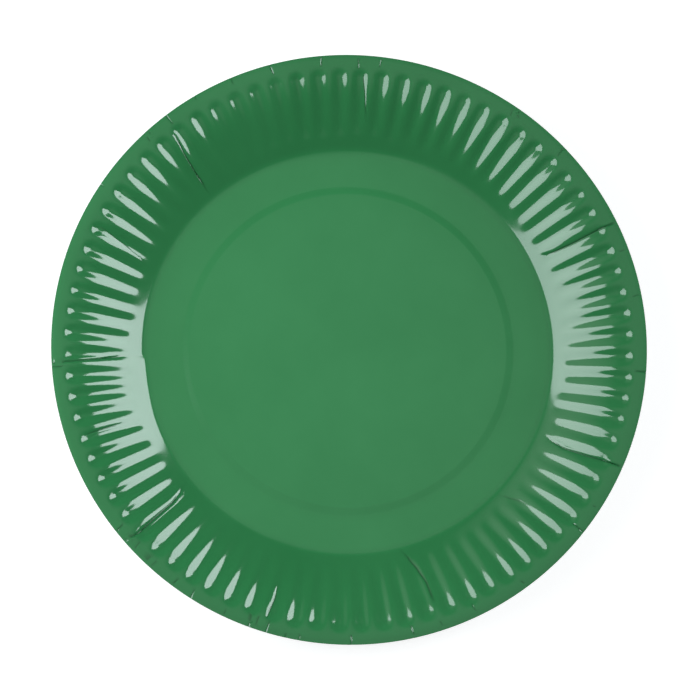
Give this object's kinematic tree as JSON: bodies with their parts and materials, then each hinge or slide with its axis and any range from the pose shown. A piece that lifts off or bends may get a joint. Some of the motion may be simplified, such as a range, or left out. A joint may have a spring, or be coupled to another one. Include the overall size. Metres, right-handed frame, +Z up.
{
  "type": "paper plate",
  "caption": "Round disposable plate of coated board with a raised centre panel, a fluted wall and a narrow smooth rim; it holds food and nests in others like it.",
  "frame": {"origin": "on the surface the plate stands on, under the plate's centre", "axes": "+Z up, out of the dish; +X to the right and +Y to the top of the picture"},
  "size_m": [0.23, 0.23, 0.0164],
  "materials": {
    "coated_board": "green board with a glossy coating on the upper face and a matt white underside"
  },
  "bodies": {
    "root": {"paper_plate": "coated_board"}
  },
  "joints": []
}
